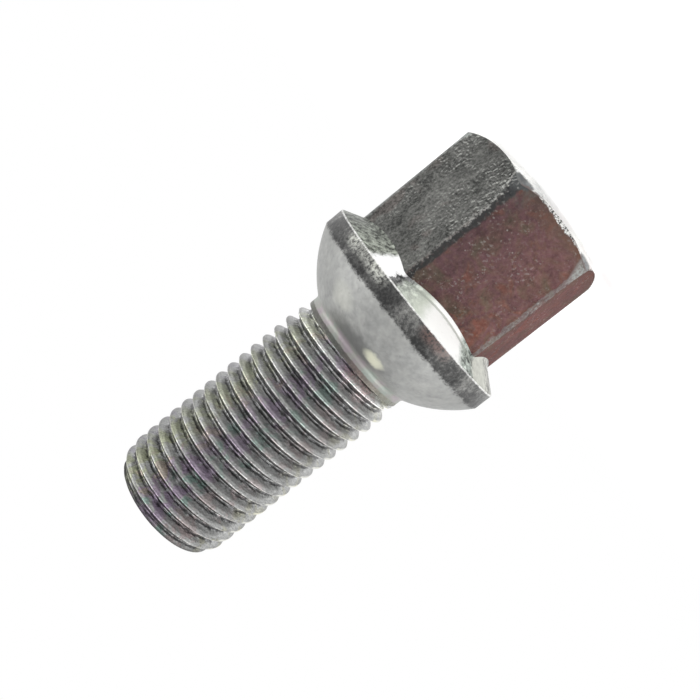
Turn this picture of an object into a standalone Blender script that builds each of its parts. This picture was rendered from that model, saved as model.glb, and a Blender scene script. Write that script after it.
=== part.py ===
"""Wheel bolt: a hexagonal head with a dished, scalloped crown, a round collar with a ball seat,
a short plain neck and a rolled right-hand metric thread with a rounded tip.

The bolt is one forged and thread-rolled piece. It stands on the crown of its head, with the
head's top at Z = 0, its axis on Z and the thread pointing up. Lengths are in metres.
"""

import math

import bmesh
import bpy
from mathutils import Vector

# Head, from the crown at Z = 0 up to the collar's sharp rim
HEX_ACROSS_FLATS = 0.0170
HEX_CORNER_RADIUS = 0.0010
HEAD_HEIGHT = 0.0149
CROWN_DROP = 0.0014  # from the crown to where a corner reaches its full size
CROWN_CURVE = 1.85  # 1 makes the crown a straight chamfer, more makes it rounder
RIM_WIDTH = 0.0015  # wall between the dish and the middle of a side
SCALLOP_DEPTH = 0.0004  # how much lower the rim runs in the middle of a side
DISH_DEPTH = 0.0008
DISH_WALL_WIDTH = 0.0012

# Collar and ball seat
COLLAR_OVERHANG = 0.0018  # past the corners of the hexagon
SHOULDER_ANGLE = math.radians(30.0)
FOOT_FILLET = 0.0004
LAND_LENGTH = 0.0019
SEAT_BALL_RADIUS = 0.0130
SEAT_FILLET = 0.0006

# Neck and thread
NECK_DIAMETER = 0.0130
NECK_LENGTH = 0.0007
THREAD_DIAMETER = 0.0137
THREAD_DEPTH = 0.0009
THREAD_PITCH = 0.0015
THREAD_LENGTH = 0.0248  # from the end of the neck to the tip
CREST_SHARE = 0.20  # share of the pitch that the crest takes
ROOT_SHARE = 0.20
CREST_BELOW_TIP = 0.0014  # where the last crest stands at +X
RUN_OUT_LENGTH = 0.0024  # over which the crests sink into the neck
RUN_OUT_SINK = 0.0003
NOSE_LENGTH = 0.0024
TIP_ROUNDING = 0.0004
SHANK_START_SHARE = 0.5  # where on the neck's length the threaded form starts inside it

# Fineness of the round shapes
COLUMNS = 48
CROWN_STEPS = 5
FILLET_STEPS = 3
SEAT_STEPS = 7
SPARE_TURNS = 2  # spun past each end of the thread, then cut off
WELD_DISTANCE = 0.000001

# Finish
ZINC_COLOUR = (0.42, 0.41, 0.38, 1.0)
ZINC_ROUGHNESS = 0.42
SMOOTH_ANGLE = math.radians(30.0)

# Sizes that follow from those above
SIDES = 6
SECTOR = 2.0 * math.pi / SIDES
HEX_INRADIUS = HEX_ACROSS_FLATS / 2.0
CORNER_ARC_CENTRE = (HEX_INRADIUS - HEX_CORNER_RADIUS) / math.cos(SECTOR / 2.0)
CORNER_REACH = CORNER_ARC_CENTRE + HEX_CORNER_RADIUS
CORNER_ARC_END = math.atan2(
    HEX_CORNER_RADIUS * math.sin(SECTOR / 2.0),
    CORNER_ARC_CENTRE + HEX_CORNER_RADIUS * math.cos(SECTOR / 2.0),
)
DISH_RADIUS = HEX_INRADIUS - RIM_WIDTH
COLLAR_RADIUS = CORNER_REACH + COLLAR_OVERHANG
LAND_END = HEAD_HEIGHT + LAND_LENGTH
SEAT_RADIUS = min(COLLAR_RADIUS, SEAT_BALL_RADIUS)
BALL_CENTRE = LAND_END - math.sqrt(SEAT_BALL_RADIUS**2 - SEAT_RADIUS**2)
NECK_RADIUS = NECK_DIAMETER / 2.0
NECK_START = BALL_CENTRE + math.sqrt(
    (SEAT_BALL_RADIUS + SEAT_FILLET) ** 2 - (NECK_RADIUS + SEAT_FILLET) ** 2
)
NECK_END = NECK_START + NECK_LENGTH
TIP = NECK_END + THREAD_LENGTH
THREAD_RADIUS = THREAD_DIAMETER / 2.0
ROOT_RADIUS = THREAD_RADIUS - THREAD_DEPTH


def fold_to_corner(azimuth):
    """Angle from the nearest corner of the hexagon; the corners lie at 0, 60, 120 degrees and on."""
    return abs((azimuth + SECTOR / 2.0) % SECTOR - SECTOR / 2.0)


def hexagon_reach(azimuth):
    """Distance from the axis to the hexagon's side or rounded corner."""
    off_corner = fold_to_corner(azimuth)
    if off_corner < CORNER_ARC_END:
        across = CORNER_ARC_CENTRE * math.sin(off_corner)
        return CORNER_ARC_CENTRE * math.cos(off_corner) + math.sqrt(HEX_CORNER_RADIUS**2 - across**2)
    return HEX_INRADIUS / math.cos(SECTOR / 2.0 - off_corner)


def hexagon_azimuths():
    """Azimuths of the columns, with three of them on each rounded corner."""
    per_side = COLUMNS // SIDES
    flat_steps = per_side - 2
    azimuths = []
    for side in range(SIDES):
        corner = side * SECTOR
        azimuths.append(corner)
        for step in range(flat_steps + 1):
            share = step / flat_steps
            azimuths.append(corner + CORNER_ARC_END + share * (SECTOR - 2.0 * CORNER_ARC_END))
    return azimuths


def even_azimuths():
    """Azimuths of the columns where the bolt is round."""
    return [2.0 * math.pi * column / COLUMNS for column in range(COLUMNS)]


def crown_point(azimuth, share):
    """Radius and height on the crown, from the dish's rim (share 0) to the side (share 1)."""
    reach = hexagon_reach(azimuth)
    radius = DISH_RADIUS + share * (reach - DISH_RADIUS)
    rise = CROWN_DROP * ((radius - DISH_RADIUS) / (CORNER_REACH - DISH_RADIUS)) ** CROWN_CURVE
    scallop = SCALLOP_DEPTH * (1.0 - math.cos(SIDES * azimuth)) / 2.0
    return radius, rise + scallop * (1.0 - share**2)


def foot_point(azimuth, share):
    """Radius and height on the hollow fillet where the hexagon meets the shoulder."""
    reach = hexagon_reach(azimuth)
    meet = HEAD_HEIGHT - (COLLAR_RADIUS - reach) * math.tan(SHOULDER_ANGLE)
    turn = math.pi / 2.0 - SHOULDER_ANGLE
    start = meet - FOOT_FILLET * math.tan(turn / 2.0)
    angle = share * turn
    return reach + FOOT_FILLET * (1.0 - math.cos(angle)), start + FOOT_FILLET * math.sin(angle)


def seat_point(share):
    """Radius and height on the ball seat, from the collar (share 0) to the neck's fillet (share 1)."""
    outer = math.asin(SEAT_RADIUS / SEAT_BALL_RADIUS)
    inner = math.atan2(NECK_RADIUS + SEAT_FILLET, NECK_START - BALL_CENTRE)
    angle = outer + share * (inner - outer)
    return SEAT_BALL_RADIUS * math.sin(angle), BALL_CENTRE + SEAT_BALL_RADIUS * math.cos(angle)


def neck_fillet_point(share):
    """Radius and height on the hollow fillet between the ball seat and the neck."""
    steepest = math.atan2(NECK_START - BALL_CENTRE, NECK_RADIUS + SEAT_FILLET)
    angle = (1.0 - share) * steepest
    return (
        NECK_RADIUS + SEAT_FILLET * (1.0 - math.cos(angle)),
        NECK_START - SEAT_FILLET * math.sin(angle),
    )


def head_stations():
    """The rings of the head and collar from the dish to the neck: azimuths, and a point for each."""
    hexagonal = hexagon_azimuths()
    even = even_azimuths()
    floor_radius = DISH_RADIUS - DISH_WALL_WIDTH
    stations = [(hexagonal, lambda azimuth: (floor_radius, DISH_DEPTH))]
    for step in range(CROWN_STEPS + 1):
        share = step / CROWN_STEPS
        stations.append((hexagonal, lambda azimuth, share=share: crown_point(azimuth, share)))
    for step in range(FILLET_STEPS + 1):
        share = step / FILLET_STEPS
        stations.append((hexagonal, lambda azimuth, share=share: foot_point(azimuth, share)))
    stations.append((even, lambda azimuth: (COLLAR_RADIUS, HEAD_HEIGHT)))
    stations.append((even, lambda azimuth: (COLLAR_RADIUS, LAND_END)))
    first_seat_step = 1 if SEAT_RADIUS == COLLAR_RADIUS else 0
    for step in range(first_seat_step, SEAT_STEPS + 1):
        share = step / SEAT_STEPS
        stations.append((even, lambda azimuth, share=share: seat_point(share)))
    for step in range(1, FILLET_STEPS + 1):
        share = step / FILLET_STEPS
        stations.append((even, lambda azimuth, share=share: neck_fillet_point(share)))
    stations.append((even, lambda azimuth: (NECK_RADIUS, NECK_END)))
    return stations


def ring_places(station):
    """The points of one ring in space."""
    azimuths, point = station
    places = []
    for azimuth in azimuths:
        radius, height = point(azimuth)
        places.append(Vector((radius * math.cos(azimuth), radius * math.sin(azimuth), height)))
    return places


def extrude_ring(bm, ring, places):
    """Extrude a ring of vertices and move the new ring to its places."""
    pairs = zip(ring, ring[1:] + ring[:1])
    edges = [bm.edges.get(pair) for pair in pairs]
    grown = bmesh.ops.extrude_edge_only(bm, edges=edges)["geom"]
    fresh = {item for item in grown if isinstance(item, bmesh.types.BMVert)}
    following = []
    for vertex, place in zip(ring, places):
        neighbours = (edge.other_vert(vertex) for edge in vertex.link_edges)
        twin = next(neighbour for neighbour in neighbours if neighbour in fresh)
        twin.co = place
        following.append(twin)
    return following


def close_ring(bm, ring, height):
    """Close a ring with triangles to a point on the axis."""
    pole = bm.verts.new((0.0, 0.0, height))
    for vertex, following in zip(ring, ring[1:] + ring[:1]):
        bm.faces.new((vertex, following, pole))


def head_mesh():
    """The dished hexagonal head, the collar, the ball seat and the plain neck, as one loft."""
    bm = bmesh.new()
    stations = head_stations()
    ring = bmesh.ops.create_circle(bm, segments=COLUMNS, radius=DISH_RADIUS)["verts"]
    for vertex, place in zip(ring, ring_places(stations[0])):
        vertex.co = place
    close_ring(bm, ring, DISH_DEPTH)
    for station in stations[1:]:
        ring = extrude_ring(bm, ring, ring_places(station))
    close_ring(bm, ring, NECK_END)
    bmesh.ops.recalc_face_normals(bm, faces=bm.faces)
    mesh = bpy.data.meshes.new("head_and_collar")
    bm.to_mesh(mesh)
    bm.free()
    return mesh


def nose_radius(height):
    """Outer radius that the rounded tip allows at a height."""
    into_nose = max(0.0, height - (TIP - NOSE_LENGTH))
    radius = THREAD_RADIUS - THREAD_DEPTH * (into_nose / NOSE_LENGTH) ** 2
    into_rounding = min(TIP_ROUNDING, max(0.0, height - (TIP - TIP_ROUNDING)))
    return radius - (TIP_ROUNDING - math.sqrt(TIP_ROUNDING**2 - into_rounding**2))


def crest_radius(height):
    """Radius of the thread's crest: it sinks into the neck at one end and follows the tip at the other."""
    out_of_neck = min(1.0, max(0.0, (height - NECK_END) / RUN_OUT_LENGTH))
    sunk = THREAD_RADIUS - NECK_RADIUS + RUN_OUT_SINK / 2.0
    return min(THREAD_RADIUS - sunk * (1.0 - out_of_neck) ** 2, nose_radius(height))


def thread_height(phase):
    """Height of the thread's profile, 0 in the root and 1 on the crest; phase is in pitches from a crest."""
    off_crest = abs((phase + 0.5) % 1.0 - 0.5)
    flank = 0.5 - CREST_SHARE / 2.0 - ROOT_SHARE / 2.0
    return min(1.0, max(0.0, 1.0 - (off_crest - CREST_SHARE / 2.0) / flank))


def thread_mesh():
    """The threaded shank: a profile spun up a helix, cut flat at the tip and inside the neck."""
    low_cut = NECK_START + SHANK_START_SHARE * NECK_LENGTH
    crest_at_x = TIP - CREST_BELOW_TIP
    first_turn = math.floor((low_cut - crest_at_x) / THREAD_PITCH) - SPARE_TURNS
    last_turn = math.ceil(CREST_BELOW_TIP / THREAD_PITCH) + SPARE_TURNS
    half_crest = CREST_SHARE / 2.0
    half_root = ROOT_SHARE / 2.0
    bm = bmesh.new()
    column = []
    for turn in range(first_turn, last_turn):
        for phase in (-half_crest, half_crest, 0.5 - half_root, 0.5 + half_root):
            height = crest_at_x + (turn + phase) * THREAD_PITCH
            column.append(bm.verts.new((THREAD_RADIUS, 0.0, height)))
    edges = [bm.edges.new(pair) for pair in zip(column, column[1:])]
    bmesh.ops.spin(
        bm,
        geom=column + edges,
        axis=(0.0, 0.0, 1.0),
        cent=(0.0, 0.0, 0.0),
        dvec=(0.0, 0.0, THREAD_PITCH / COLUMNS),
        angle=2.0 * math.pi,
        steps=COLUMNS,
    )
    bmesh.ops.remove_doubles(bm, verts=bm.verts, dist=WELD_DISTANCE)
    for vertex in bm.verts:
        azimuth = math.atan2(vertex.co.y, vertex.co.x)
        phase = (vertex.co.z - crest_at_x) / THREAD_PITCH - azimuth / (2.0 * math.pi)
        crest = crest_radius(vertex.co.z)
        root = min(ROOT_RADIUS, crest)
        radius = root + (crest - root) * thread_height(phase)
        vertex.co.x = radius * math.cos(azimuth)
        vertex.co.y = radius * math.sin(azimuth)
    for height, outward in ((TIP, 1.0), (low_cut, -1.0)):
        cut = bmesh.ops.bisect_plane(
            bm,
            geom=bm.verts[:] + bm.edges[:] + bm.faces[:],
            dist=WELD_DISTANCE,
            plane_co=(0.0, 0.0, height),
            plane_no=(0.0, 0.0, outward),
            clear_outer=True,
        )["geom_cut"]
        rim = [item for item in cut if isinstance(item, bmesh.types.BMEdge)]
        bmesh.ops.holes_fill(bm, edges=rim, sides=0)
    bmesh.ops.recalc_face_normals(bm, faces=bm.faces)
    mesh = bpy.data.meshes.new("threaded_shank")
    bm.to_mesh(mesh)
    bm.free()
    return mesh


def zinc_material():
    """Grey zinc plating on steel."""
    material = bpy.data.materials.new("zinc_plated_steel")
    material.use_nodes = True
    shader = material.node_tree.nodes["Principled BSDF"]
    shader.inputs["Base Color"].default_value = ZINC_COLOUR
    shader.inputs["Metallic"].default_value = 1.0
    shader.inputs["Roughness"].default_value = ZINC_ROUGHNESS
    material.diffuse_color = ZINC_COLOUR
    return material


def add_object(name, mesh, material):
    """Put a mesh into the scene, shaded smooth apart from its edges."""
    mesh.materials.append(material)
    mesh.shade_smooth()
    mesh.set_sharp_from_angle(angle=SMOOTH_ANGLE)
    item = bpy.data.objects.new(name, mesh)
    bpy.context.scene.collection.objects.link(item)
    return item


def clear_scene():
    """Remove the objects that the file opened with."""
    for item in list(bpy.data.objects):
        bpy.data.objects.remove(item, do_unlink=True)


def build():
    """Join the threaded shank to the head, so that the thread's grooves end at the neck's edge."""
    clear_scene()
    zinc = zinc_material()
    bolt = add_object("wheel_bolt", head_mesh(), zinc)
    shank = add_object("threaded_shank_form", thread_mesh(), zinc)
    shank.hide_render = True
    shank.display_type = "WIRE"
    join = bolt.modifiers.new("join_shank", "BOOLEAN")
    join.operation = "UNION"
    join.solver = "EXACT"
    join.object = shank


build()
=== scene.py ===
"""Looks of the wheel bolt: a forged hexagonal head with a ball seat, and a rolled thread, all zinc plated.

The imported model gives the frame. The bolt stands on the crown of its head at Z = 0 with its axis
on Z and the thread pointing up. Lengths are in metres, and azimuths in finishes are in degrees.
"""

import logging
import math
from dataclasses import dataclass
from enum import Enum, IntEnum
from typing import Callable, Optional, Sequence, Union

import bmesh
import bpy
from mathutils import Euler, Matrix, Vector


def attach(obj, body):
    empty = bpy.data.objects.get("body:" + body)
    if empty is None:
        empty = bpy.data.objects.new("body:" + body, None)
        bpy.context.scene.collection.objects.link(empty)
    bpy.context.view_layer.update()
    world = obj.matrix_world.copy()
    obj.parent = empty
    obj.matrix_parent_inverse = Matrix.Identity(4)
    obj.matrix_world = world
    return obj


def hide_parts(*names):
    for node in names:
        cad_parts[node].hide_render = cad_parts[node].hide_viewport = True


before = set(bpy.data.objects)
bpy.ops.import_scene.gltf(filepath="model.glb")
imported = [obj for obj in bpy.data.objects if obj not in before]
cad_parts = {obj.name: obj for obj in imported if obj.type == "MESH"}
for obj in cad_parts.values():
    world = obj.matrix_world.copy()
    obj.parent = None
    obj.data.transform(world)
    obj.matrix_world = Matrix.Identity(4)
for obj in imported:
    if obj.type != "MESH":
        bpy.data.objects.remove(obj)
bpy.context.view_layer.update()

LOG = logging.getLogger("wheel_bolt")
NODE = "wheel_bolt"
BODY = "root"
MM = 0.001
FULL_TURN = 2.0 * math.pi
SIDES = 6
SECTOR = FULL_TURN / SIDES
WELD_DISTANCE = 0.000001

Colour = tuple[float, float, float]
Place = tuple[float, float]
Stops = tuple[tuple[float, Colour], ...]
Station = tuple[list[float], Callable[[float], Place], int]

WHITE: Colour = (1.0, 1.0, 1.0)
LAMP_AIM = Vector((0.0, 0.0, 0.024))
SMALL_LEAN = (0.30, -0.35, 0.35)
WIDE_LEAN = (0.45, -0.40, 0.30)


class Fineness(Enum):
    """How many columns a round piece has."""

    HEAD = 288
    THREAD = 216


class Slot(IntEnum):
    """Material slots of the head."""

    CROWN = 0
    SIDE = 1
    COLLAR = 2


class Ray(Enum):
    """Kinds of ray that the surroundings can tell apart."""

    CAMERA = "Is Camera Ray"
    GLOSSY = "Is Glossy Ray"
    TRANSMISSION = "Is Transmission Ray"


def grey(level: float) -> Colour:
    """A neutral colour."""
    return level, level, level


def greys(*levels: Place) -> Stops:
    """Neutral stops from places and levels."""
    return tuple((place, grey(level)) for place, level in levels)


def ease(share: float) -> float:
    """Smooth step from 0 to 1.

    Args:
        share: position along the step, taken as 0 to 1.

    Returns:
        The eased position.
    """
    share = min(1.0, max(0.0, share))
    return share * share * (3.0 - 2.0 * share)


def soft_clip(value: float, softness: float) -> float:
    """Clip a number to 0 to 1 with rounded ends.

    Args:
        value: the number to clip.
        softness: half the length of each rounded end.

    Returns:
        The clipped number.
    """
    if value <= -softness:
        return 0.0
    if value >= 1.0 + softness:
        return 1.0
    if value < softness:
        return (value + softness) ** 2 / (4.0 * softness)
    if value > 1.0 - softness:
        return 1.0 - (1.0 - value + softness) ** 2 / (4.0 * softness)
    return value


# Shader maths


class Field:
    """A value or colour that varies over a surface: one output socket of a node."""

    def __init__(self, graph: "Graph", socket: bpy.types.NodeSocket) -> None:
        """Wrap a socket.

        Args:
            graph: the graph that the socket's node is in.
            socket: the output socket.
        """
        self.graph = graph
        self.socket = socket

    def math(self, operation: str, *others: "Operand") -> "Field":
        """Add a Math node whose first value is this one.

        Args:
            operation: the Math node's operation.
            others: the node's other values.

        Returns:
            The node's result.
        """
        values: dict[Union[int, str], Operand] = {0: self}
        values.update({place + 1: other for place, other in enumerate(others)})
        return self.graph.add("ShaderNodeMath", {"operation": operation}, values)

    def __add__(self, other: "Operand") -> "Field":
        """Sum."""
        return self.math("ADD", other)

    __radd__ = __add__

    def __sub__(self, other: "Operand") -> "Field":
        """Difference."""
        return self.math("SUBTRACT", other)

    def __rsub__(self, other: "Operand") -> "Field":
        """Difference from a plain number."""
        return self.graph.add("ShaderNodeMath", {"operation": "SUBTRACT"}, {0: other, 1: self})

    def __mul__(self, other: "Operand") -> "Field":
        """Product."""
        return self.math("MULTIPLY", other)

    __rmul__ = __mul__

    def __truediv__(self, other: "Operand") -> "Field":
        """Quotient."""
        return self.math("DIVIDE", other)

    def clipped(self) -> "Field":
        """This value kept between 0 and 1."""
        return self.math("MAXIMUM", 0.0).math("MINIMUM", 1.0)

    def step(self, low: float, high: float) -> "Field":
        """Smooth step of this value.

        Args:
            low: the value that gives 0.
            high: the value that gives 1. It may be below low.

        Returns:
            The step, from 0 to 1.
        """
        settings = {"interpolation_type": "SMOOTHSTEP"}
        values = {"Value": self, "From Min": low, "From Max": high}
        return self.graph.add("ShaderNodeMapRange", settings, values)

    def band(self, start: float, end: float, edge: float) -> "Field":
        """A mask that is 1 between two values and fades to 0 outside them."""
        return self.step(start - edge, start) * self.step(end + edge, end)


Operand = Union[Field, float, Sequence[float]]


@dataclass(frozen=True)
class Noise:
    """A cloudy pattern around 0.5: its size, the number and strength of its finer octaves, and its twist."""

    size: float
    detail: float = 3.0
    rough: float = 0.55
    twist: float = 0.0


class Graph:
    """A node tree that is written as expressions."""

    def __init__(self, tree: bpy.types.NodeTree) -> None:
        """Start with the node tree of a material or world."""
        self.tree = tree

    def add(
        self,
        kind: str,
        settings: Optional[dict[str, object]] = None,
        values: Optional[dict[Union[int, str], Operand]] = None,
        output: Union[int, str] = 0,
    ) -> Field:
        """Add a node.

        Args:
            kind: the node's type.
            settings: the node's own properties. "stops" gives a ramp's places and colours.
            values: numbers, colours or fields for the node's inputs, by place or name.
            output: the output to hand back.

        Returns:
            The output as a field.
        """
        made = self.tree.nodes.new(kind)
        for name, setting in (settings or {}).items():
            if name == "stops":
                self._set_stops(made.color_ramp, setting)
            else:
                setattr(made, name, setting)
        for key, value in (values or {}).items():
            self.feed(made.inputs[key], value)
        return Field(self, made.outputs[output])

    def feed(self, socket: bpy.types.NodeSocket, value: Operand) -> None:
        """Link a field to an input, or set a plain number or colour on it.

        Args:
            socket: the input.
            value: what it gets.
        """
        if isinstance(value, Field):
            self.tree.links.new(value.socket, socket)
        elif isinstance(value, (int, float)) or socket.type == "VECTOR":
            socket.default_value = value
        else:
            socket.default_value = (*value[:3], 1.0)

    @staticmethod
    def _set_stops(ramp: bpy.types.ColorRamp, stops: Stops) -> None:
        """Give a colour ramp its stops.

        Args:
            ramp: the colour ramp of a new node.
            stops: places from 0 to 1 and their colours.
        """
        while len(ramp.elements) < len(stops):
            ramp.elements.new(1.0)
        for element, (place, colour) in zip(ramp.elements, stops):
            element.position = place
            element.color = (*colour, 1.0)

    def parts(self, vector: Field) -> tuple[Field, Field, Field]:
        """The three numbers of a vector.

        Args:
            vector: the vector to split.

        Returns:
            X, Y and Z.
        """
        x = self.add("ShaderNodeSeparateXYZ", values={0: vector})
        outputs = x.socket.node.outputs
        return x, Field(self, outputs[1]), Field(self, outputs[2])

    def joined(self, x: Operand, y: Operand, z: Operand) -> Field:
        """A vector from three numbers."""
        return self.add("ShaderNodeCombineXYZ", values={0: x, 1: y, 2: z})

    def ramp(self, value: Field, stops: Stops) -> Field:
        """Colours along a value from 0 to 1."""
        return self.add("ShaderNodeValToRGB", {"stops": stops}, {0: value})

    def scaled(self, colour: Operand, by: Operand) -> Field:
        """A colour made lighter or darker."""
        return self.add("ShaderNodeVectorMath", {"operation": "SCALE"}, {0: colour, "Scale": by})

    def mix(self, share: Operand, first: Operand, second: Operand, blend: str = "MIX") -> Field:
        """Mix two colours; the share is how much of the second one shows."""
        settings = {"data_type": "RGBA", "blend_type": blend}
        return self.add("ShaderNodeMix", settings, {0: share, 6: first, 7: second}, output=2)

    def times(self, first: Operand, second: Operand) -> Field:
        """Two colours multiplied."""
        return self.mix(1.0, first, second, "MULTIPLY")

    def layered(self, colour: Operand, layers: Sequence[tuple[Operand, Operand]]) -> Operand:
        """Lay colours over a colour, one after another.

        Args:
            colour: the colour underneath.
            layers: how much of each layer shows and its colour, from the lowest up.

        Returns:
            The colour on top.
        """
        for share, tone in layers:
            colour = self.mix(share, colour, tone)
        return colour

    def rays(self, *kinds: Ray) -> Field:
        """A mask for some kinds of ray.

        Args:
            kinds: the kinds of ray.

        Returns:
            1 for rays of any of the kinds, 0 for the rest.
        """
        outputs = self.add("ShaderNodeLightPath").socket.node.outputs
        fields = [Field(self, outputs[kind.value]) for kind in kinds]
        return sum(fields[1:], fields[0]).math("MINIMUM", 1.0)


class Surface(Graph):
    """A material's node tree, with the place on the bolt that it colours."""

    def __init__(self, tree: bpy.types.NodeTree) -> None:
        """Read the place on the object, and its distance and azimuth from the axis.

        Args:
            tree: the material's node tree.
        """
        super().__init__(tree)
        self.at = self.add("ShaderNodeTexCoord", output="Object")
        self.x, self.y, self.z = self.parts(self.at)
        self.radius = (self.x * self.x + self.y * self.y).math("SQRT")
        self.azimuth = self.y.math("ARCTAN2", self.x)
        self._patterns: dict[Noise, Field] = {}

    def read(self, pattern: Noise, at: Field) -> Field:
        """A pattern at any place.

        Args:
            pattern: the pattern.
            at: the point to read it at.

        Returns:
            The noise, from 0 to 1.
        """
        values = {"Vector": at, "Scale": 1.0 / pattern.size, "Detail": pattern.detail}
        values.update({"Roughness": pattern.rough, "Distortion": pattern.twist})
        return self.add("ShaderNodeTexNoise", {"noise_dimensions": "3D"}, values)

    def noise(self, pattern: Noise) -> Field:
        """A pattern at the surface's own place. One that is asked for again is shared.

        Args:
            pattern: the pattern.

        Returns:
            The noise, from 0 to 1.
        """
        if pattern not in self._patterns:
            self._patterns[pattern] = self.read(pattern, self.at)
        return self._patterns[pattern]

    def cells(self, size: float) -> Field:
        """Distance to the nearest of a scatter of points, in spacings."""
        return self.add("ShaderNodeTexVoronoi", values={"Vector": self.at, "Scale": 1.0 / size})

    def embossed(self, size: float, lean: tuple[float, float, float]) -> Field:
        """Noise that looks like small lit and shaded bumps, around 0.

        Args:
            size: size of the bumps.
            lean: direction and distance to each bump's shaded side, in sizes.

        Returns:
            Positive on the lit sides, negative on the shaded ones.
        """
        shift = tuple(size * share for share in lean)
        moved = self.add("ShaderNodeVectorMath", {"operation": "ADD"}, {0: self.at, 1: shift})
        bumps = Noise(size, 1.5, 0.5)
        return self.read(bumps, self.at) - self.read(bumps, moved)

    def fold(self, centre: float) -> Field:
        """Signed angle from the nearest of six equal directions, the first at a centre angle."""
        return (((self.azimuth - centre) / SECTOR + 0.5).math("FRACT") - 0.5) * SECTOR

    def flat_reach(self) -> Field:
        """Distance from the axis along the normal of the nearest of the hexagon's sides."""
        return self.radius * self.fold(SECTOR / 2.0).math("COSINE")

    def around(self, stops: Stops, shift: Operand = 0.0) -> Field:
        """Colours about the bolt's axis, with each place moved by an angle."""
        turned = tuple((turn / 360.0 + 0.5, colour) for turn, colour in stops)
        return self.ramp((self.azimuth + shift) / FULL_TURN + 0.5, turned)

    def sector(self, start: float, end: float, edge: float) -> Field:
        """A mask that is 1 between two azimuths and fades to 0 outside them."""
        return self.azimuth.band(math.radians(start), math.radians(end), math.radians(edge))


# Finishes


@dataclass(frozen=True)
class ZincFinish:
    """Zinc plating on steel, with the parts of its look that every surface of the bolt shares."""

    name: str = "zinc"
    colour: Colour = (0.36, 0.36, 0.35)
    metallic: float = 0.6
    specular: float = 0.5
    roughness: float = 0.40
    roughness_spread: float = 0.20
    grain_size: float = 0.00022
    bump_height: float = 0.000010
    pit_size: float = 0.0007
    pit_depth: float = 0.00002

    def material(self) -> bpy.types.Material:
        """Build the material.

        Returns:
            The finished material.
        """
        made = bpy.data.materials.new(self.name)
        made.use_nodes = True
        shader = made.node_tree.nodes["Principled BSDF"]
        on = Surface(made.node_tree)
        shader.inputs["Specular IOR Level"].default_value = self.specular
        on.feed(shader.inputs["Metallic"], self.metal(on))
        on.feed(shader.inputs["Base Color"], self.tint(on))
        on.feed(shader.inputs["Roughness"], self.gloss(on))
        on.feed(shader.inputs["Normal"], self.relief(on))
        made.diffuse_color = (*self.colour, 1.0)
        return made

    def tint(self, on: Surface) -> Operand:
        """Colour of the plating at each point."""
        return self.colour

    def gloss(self, on: Surface) -> Field:
        """Roughness of the plating at each point."""
        return (on.noise(Noise(self.grain_size, 2.0)) - 0.5) * self.roughness_spread + self.roughness

    def metal(self, on: Surface) -> Operand:
        """How much of the surface mirrors as metal; the rest is a chalky film."""
        return self.metallic

    def roughened(self, on: Surface) -> Operand:
        """How strong the surface grain is at each point, 1 for its plain strength."""
        return 1.0

    def swell(self, on: Surface) -> Operand:
        """Height of forms that are too slight for the mesh, in metres."""
        return 0.0

    def relief(self, on: Surface) -> Field:
        """Surface grain and shallow pits.

        Args:
            on: the surface.

        Returns:
            The bumped normal.
        """
        grain = on.noise(Noise(self.grain_size, 4.0, 0.6)) * self.bump_height
        pits = on.cells(self.pit_size).step(0.22, 0.05) * self.pit_depth
        height = (grain - pits) * self.roughened(on) + self.swell(on)
        return on.add("ShaderNodeBump", values={"Strength": 1.0, "Distance": 1.0, "Height": height})


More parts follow.
